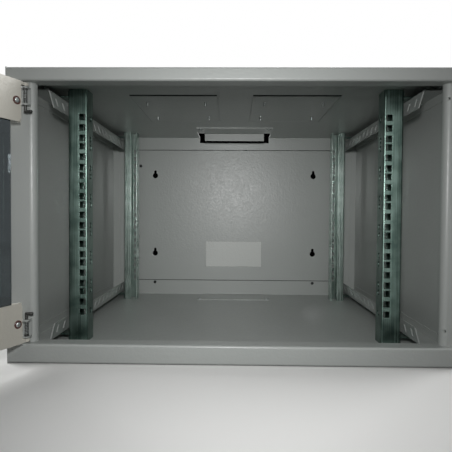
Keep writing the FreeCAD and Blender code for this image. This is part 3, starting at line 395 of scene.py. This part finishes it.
def screw_seats(name, turn):
    """Where each screw of a CAD node bears, which way its shank runs, and its four sizes."""
    unturn = Matrix.Rotation(-turn, 3, "Z")
    back = unturn.inverted()
    for points in loose_parts(name):
        flat = points @ np.array(unturn).T
        low, high = flat.min(0), flat.max(0)
        spans = high - low
        axis = min(range(3), key=lambda i: abs(spans[(i + 1) % 3] - spans[(i + 2) % 3]))
        across = [(axis + 1) % 3, (axis + 2) % 3]
        middle = (low + high) / 2
        reach = np.linalg.norm((flat - middle)[:, across], axis=1)
        rim = flat[reach > reach.max() * RIM_SHARE][:, axis]
        narrow = reach[(reach > reach.max() * SHANK_SHARES[0]) & (reach < reach.max() * SHANK_SHARES[1])]
        to_high = rim.mean() < middle[axis]
        seat = middle.copy()
        seat[axis] = rim.max() if to_high else rim.min()
        way = np.zeros(3)
        way[axis] = 1 if to_high else -1
        head = rim.max() - rim.min()
        yield (back @ Vector(seat), back @ Vector(way), reach.max(), head, narrow.max(), spans[axis] - head)


def set_screws(name, material, body, turn=0.0):
    """Stand real screws in the place of a CAD node's plain ones."""
    form = bmesh.new()
    blanks = {}
    for seat, way, head_radius, head, shank_radius, shank in screw_seats(name, turn):
        sizes = tuple(round(value, 5) for value in (head_radius, head, shank_radius, shank))
        if sizes not in blanks:
            blanks[sizes] = recessed_screw(*sizes)
        known = len(form.verts)
        form.from_mesh(blanks[sizes])
        form.verts.ensure_lookup_table()
        spin = Matrix.Rotation(FIRST_SPIN + SPIN_PER_POINT * known, 4, "Z")
        place = Matrix.Translation(seat) @ way.to_track_quat("Z", "Y").to_matrix().to_4x4() @ spin
        bmesh.ops.transform(form, matrix=place, verts=form.verts[known:])
    item = mesh_object(name + "_recessed", form)
    smooth(item)
    item.data.materials.append(material)
    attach(item, body)
    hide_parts(name)
    return item


bright_zinc = plated_steel("bright_zinc_plated_steel", "#c9cccb", "#a6acab", 0.3, False)
black_oxide = plated_steel("black_oxide_steel", "#4c4d4c", "#2f302f", 0.4, False)
for group in SCREW_GROUPS:
    finish = black_oxide if group == "back_panel_screws" else bright_zinc
    set_screws(group, finish, "cabinet")

# ---- Hinges on the column ----
# Two small folded brackets are welded to the left column and coated with it, and each carries a sprung pin
# with a bent tail. The pins are oiled steel, and the springs are cold coiled music wire.
HINGE_ENDS = (("top", "upper", 1), ("bottom", "lower", -1))
WIRE = 0.7 * MM
COIL_TURNS = 9
COIL_STEPS = 16
EVEN_PITCH = 0.7
pin_steel = plated_steel("dark_oiled_steel", "#5a5a58", "#3b3c3b", 0.42, False)
spring_wire = plated_steel("spring_wire", "#b4b8b6", "#8f9493", 0.4, False)


def coil_spring(name, low, high):
    """A round wire coil with close end turns that fills the given box."""
    curve = bpy.data.curves.new(name, "CURVE")
    curve.dimensions = "3D"
    curve.bevel_depth = WIRE / 2
    curve.bevel_resolution = 3
    spline = curve.splines.new("NURBS")
    count = COIL_TURNS * COIL_STEPS
    spline.points.add(count)
    middle = (low + high) / 2
    radius = (high.x - low.x - WIRE) / 2
    for i in range(count + 1):
        share = i / count
        # the end turns lie close together, and the pitch opens between them
        eased = EVEN_PITCH * share + (1 - EVEN_PITCH) * share * share * (3 - 2 * share)
        angle = 2 * math.pi * i / COIL_STEPS
        height = low.z + WIRE / 2 + (high.z - low.z - WIRE) * eased
        side, front = radius * math.cos(angle), radius * math.sin(angle)
        spline.points[i].co = (middle.x + side, middle.y + front, height, 1)
    spline.order_u = 3
    spline.use_endpoint_u = True
    wire = bpy.data.objects.new(name, curve)
    bpy.context.scene.collection.objects.link(wire)
    mesh = bpy.data.meshes.new_from_object(wire.evaluated_get(bpy.context.evaluated_depsgraph_get()))
    bpy.data.objects.remove(wire)
    item = bpy.data.objects.new(name, mesh)
    bpy.context.scene.collection.objects.link(item)
    smooth(item)
    return item


for end, level, up in HINGE_ENDS:
    dress(body_coat, [f"hinge_bracket_{end}"])
    dress(pin_steel, [f"hinge_pin_{end}"])
    low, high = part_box(f"hinge_spring_{end}")
    spring = coil_spring(f"hinge_coil_{end}", low, high)
    spring.data.materials.append(spring_wire)
    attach(spring, "cabinet")
    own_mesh(spring)
    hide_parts(f"hinge_spring_{end}")

# ---- Glass door ----
# A frameless pane of 4 mm smoked safety glass, ground and polished round its edge, with rounded corners.
# The grey tint is all through the glass, so that the dark edge shows it best.
GLASS_TINT = "#3f4446"
GLASS_WAVE = 160 * MM
door_glass, tree, place = new_material("smoked_float_glass")
wave = add_node(tree, "ShaderNodeTexNoise", {"Vector": place, "Scale": 1 / GLASS_WAVE, "Detail": 2.0})
gloss = add_node(tree, "ShaderNodeMapRange", {"Value": wave.outputs[0], "To Min": 0.0, "To Max": 0.03})
finish_material(tree, add_node(tree, "ShaderNodeBsdfPrincipled",
                               {"Base Color": colour(GLASS_TINT), "Roughness": gloss.outputs[0], "IOR": 1.52,
                                "Transmission Weight": 1.0}))
dress(door_glass, ["door_glass"])

# ---- Glass clamps ----
# Each end of the door is held between two painted steel plates with rubber pads, round a steel block that
# turns on the pin. The plates are enamelled light beige, the pads are moulded black rubber, and the bolts
# have a washer of red-brown vulcanised fibre.
RUBBER_BLOOM = 6 * MM
FIBRE_FLECK = 1.5 * MM
# the door stands 114 degrees open, and its bolts are measured in its own directions
DOOR_TURN = math.radians(-114)
clamp_paint = powder_coat("beige_enamelled_steel", "#d9d6cb", "#d0cdc2", 0.36)
for end in ("top", "bottom"):
    dress(clamp_paint, [f"clamp_plate_inner_{end}", f"clamp_plate_outer_{end}", f"pivot_block_{end}"])
dress(mottled("moulded_rubber", "#191a1a", "#2a2b2b", RUBBER_BLOOM, 0.7), ["glass_pads"])
dress(mottled("vulcanised_fibre", "#4a2c28", "#64403a", FIBRE_FLECK, 0.6), ["hinge_washers"])
set_screws("hinge_bolts", bright_zinc, "door", DOOR_TURN)
dress(bright_zinc, ["hinge_nuts"])

# ---- Door lock ----
# A quarter turn cam lock through the glass. Its flanged body and core are zinc die castings with bright
# nickel plate, and the cam behind is a stamped steel blade held by a screw.
lock_plate = plated_steel("nickel_plated_die_casting", "#c6c4bf", "#b1afaa", 0.22, False)
dress(lock_plate, ["lock_body", "lock_nut", "lock_core"])
dress(bright_zinc, ["lock_cam", "cam_screw"])

# ---- Floor, light and camera ----
# The cabinet stands on a pale floor in a white room, with the lens in front of it, square to the opening. The
# main lamp is a small soft panel over the lens, and three large ones stand at the sides and behind.
PALE = "#f2f2f0"
DIM = "#3c3c3b"
WHITE = "#ffffff"
FLOOR_SIZE = 9.0
NEAR_FLOOR, FAR_FLOOR = 1.3, 2.6
FLOOR_GAP = 0.5 * MM


def seen_rays(tree):
    """One where a ray comes from the lens, a mirror or glass, and zero where it carries plain light."""
    path = add_node(tree, "ShaderNodeLightPath").outputs
    eye = add_node(tree, "ShaderNodeMath", {0: path["Is Camera Ray"], 1: path["Is Glossy Ray"]},
                   operation="MAXIMUM")
    return add_node(tree, "ShaderNodeMath", {0: eye.outputs[0], 1: path["Is Transmission Ray"]},
                    operation="MAXIMUM").outputs[0]


def stage_card(name, corners):
    """A flat stage piece, and the tree and place of its empty material."""
    form = bmesh.new()
    form.faces.new([form.verts.new(corner) for corner in corners])
    item = mesh_object(name, form)
    material, tree, place = new_material(name)
    item.data.materials.append(material)
    return tree, place


# The floor is pale to the eye, throws little light up into the cabinet, and runs out into the white room.
half = FLOOR_SIZE / 2
floor_top = cad_bounds[0][2] - FLOOR_GAP
tree, place = stage_card("pale_floor", [(x, y, floor_top) for x, y in
                                        ((-half, -half), (half, -half), (half, half), (-half, half))])
eye = seen_rays(tree)
tone = add_node(tree, "ShaderNodeMix", {"Factor": eye, 6: colour(DIM), 7: colour(PALE)}, data_type="RGBA")
board = add_node(tree, "ShaderNodeBsdfPrincipled", {"Base Color": tone.outputs[2], "Roughness": 0.9})
away = add_node(tree, "ShaderNodeVectorMath", {0: place}, operation="LENGTH")
far = add_node(tree, "ShaderNodeMapRange", {"Value": away.outputs["Value"], "From Min": NEAR_FLOOR,
                                            "From Max": FAR_FLOOR}, interpolation_type="SMOOTHSTEP")
share = add_node(tree, "ShaderNodeMath", {0: far.outputs[0], 1: eye}, operation="MULTIPLY")
white = add_node(tree, "ShaderNodeEmission", {"Color": colour(WHITE)})
finish_material(tree, add_node(tree, "ShaderNodeMixShader",
                               {0: share.outputs[0], 1: board.outputs[0], 2: white.outputs[0]}))

# The room behind the cabinet is dark in the photograph, so dark cards lie behind the keyholes and over the
# roof's cable entry. They show only from inside the cabinet, and from outside they are clear.
CARD_GAP = 0.6 * MM
# the cards' near black is painted shade for the unlit room seen through the holes
DARK_ROOM = "#040404"
# edges in millimetres as left, low, right and high, where the roof's card has the wall at its high edge
BACK_CARD = (-290, -150, 290, 195.6)
ROOF_CARD = (-88, -68, 88, 0.6)


def dark_card(name, corners):
    """A card that is dark to the lens on one side, and clear on the other and to all light."""
    tree = stage_card(name, corners)[0]
    back_side = add_node(tree, "ShaderNodeNewGeometry").outputs["Backfacing"]
    to_lens = add_node(tree, "ShaderNodeLightPath").outputs["Is Camera Ray"]
    front_side = add_node(tree, "ShaderNodeMath", {0: 1.0, 1: back_side}, operation="SUBTRACT")
    shown = add_node(tree, "ShaderNodeMath", {0: front_side.outputs[0], 1: to_lens}, operation="MULTIPLY")
    dark = add_node(tree, "ShaderNodeBsdfDiffuse", {"Color": colour(DARK_ROOM)})
    clear = add_node(tree, "ShaderNodeBsdfTransparent")
    finish_material(tree, add_node(tree, "ShaderNodeMixShader",
                                   {0: shown.outputs[0], 1: clear.outputs[0], 2: dark.outputs[0]}))


def card_corners(edges):
    """The four corners of a card, counterclockwise from its low left one, in metres."""
    left, low, right, high = (edge * MM for edge in edges)
    return [(left, low), (right, low), (right, high), (left, high)]


dark_card("dark_card_back", [(x, CARD_GAP, z) for x, z in card_corners(BACK_CARD)])
dark_card("dark_card_roof", [(x, y, roof_top + CARD_GAP) for x, y in reversed(card_corners(ROOF_CARD))])

# The room is white to the lens and in what glass and plate reflect, and it lights the cabinet only a little.
AMBIENT = 0.07
scene = bpy.context.scene
world = bpy.data.worlds.new("studio")
scene.world = world
world.use_nodes = True
tree = world.node_tree
tree.nodes.clear()
strength = add_node(tree, "ShaderNodeMapRange", {"Value": seen_rays(tree), "To Min": AMBIENT, "To Max": 1.0})
room = add_node(tree, "ShaderNodeBackground", {"Color": colour(WHITE), "Strength": strength.outputs[0]})
add_node(tree, "ShaderNodeOutputWorld", {"Surface": room.outputs[0]})

# The lens stands about a metre before the wall, as worked out from the rails' standard holes.
CAMERA_SPOT = Vector((-1.9, -1063.7, 2.8)) * MM
CAMERA_YAW, CAMERA_PITCH, CAMERA_ROLL = (math.radians(angle) for angle in (-0.93, -1.43, 0.36))
FOCAL_PIXELS, FRAME_PIXELS = 428.6, 452
SENSOR_WIDTH = 36
LENS_LAMP = CAMERA_SPOT + Vector((0, 0.02, 0.125))
LENS_LAMP_AIM = (-0.02, 0, -0.13)
LENS_LAMP_WIDTH, LENS_LAMP_POWER, LENS_LAMP_SPREAD = 0.07, 0.85, 90
ROOM_LAMP_WIDTH, ROOM_LAMP_POWER = 1.2, 30
PANEL_SHAPE = 0.7
NEAREST_SEEN = 10 * MM


def soft_panel(name, spot, target, width, power, spread=180):
    """A rectangular lamp that shines at its target."""
    data = bpy.data.lights.new(name, "AREA")
    data.shape = "RECTANGLE"
    data.size = width
    data.size_y = width * PANEL_SHAPE
    data.energy = power
    data.spread = math.radians(spread)
    item = bpy.data.objects.new(name, data)
    item.location = spot
    item.rotation_euler = (Vector(target) - Vector(spot)).to_track_quat("-Z", "Y").to_euler()
    scene.collection.objects.link(item)


soft_panel("lens_panel", LENS_LAMP, LENS_LAMP_AIM, LENS_LAMP_WIDTH, LENS_LAMP_POWER, LENS_LAMP_SPREAD)
soft_panel("left_panel", (-1.9, 0.2, 1.0), (0, -0.1, 0), ROOM_LAMP_WIDTH, ROOM_LAMP_POWER)
soft_panel("right_panel", (1.9, 0.2, 1.0), (0, -0.1, 0), ROOM_LAMP_WIDTH, ROOM_LAMP_POWER)
soft_panel("rear_panel", (0.3, 1.9, 1.1), (0, 0, 0), ROOM_LAMP_WIDTH, ROOM_LAMP_POWER)

across = Vector((math.cos(CAMERA_YAW), -math.sin(CAMERA_YAW), 0))
level_ahead = Vector((math.sin(CAMERA_YAW), math.cos(CAMERA_YAW), 0))
ahead = level_ahead * math.cos(CAMERA_PITCH) + Vector((0, 0, math.sin(CAMERA_PITCH)))
upward = across.cross(ahead)
right = across * math.cos(CAMERA_ROLL) + upward * math.sin(CAMERA_ROLL)
top = upward * math.cos(CAMERA_ROLL) - across * math.sin(CAMERA_ROLL)
lens = bpy.data.cameras.new("lens")
lens.sensor_width = SENSOR_WIDTH
lens.lens = lens.sensor_width * FOCAL_PIXELS / FRAME_PIXELS
lens.clip_start = NEAREST_SEEN
camera = bpy.data.objects.new("camera", lens)
camera.matrix_world = Matrix((right, top, -ahead)).transposed().to_4x4()
camera.location = CAMERA_SPOT
scene.collection.objects.link(camera)
scene.camera = camera
scene.view_settings.view_transform = "Standard"
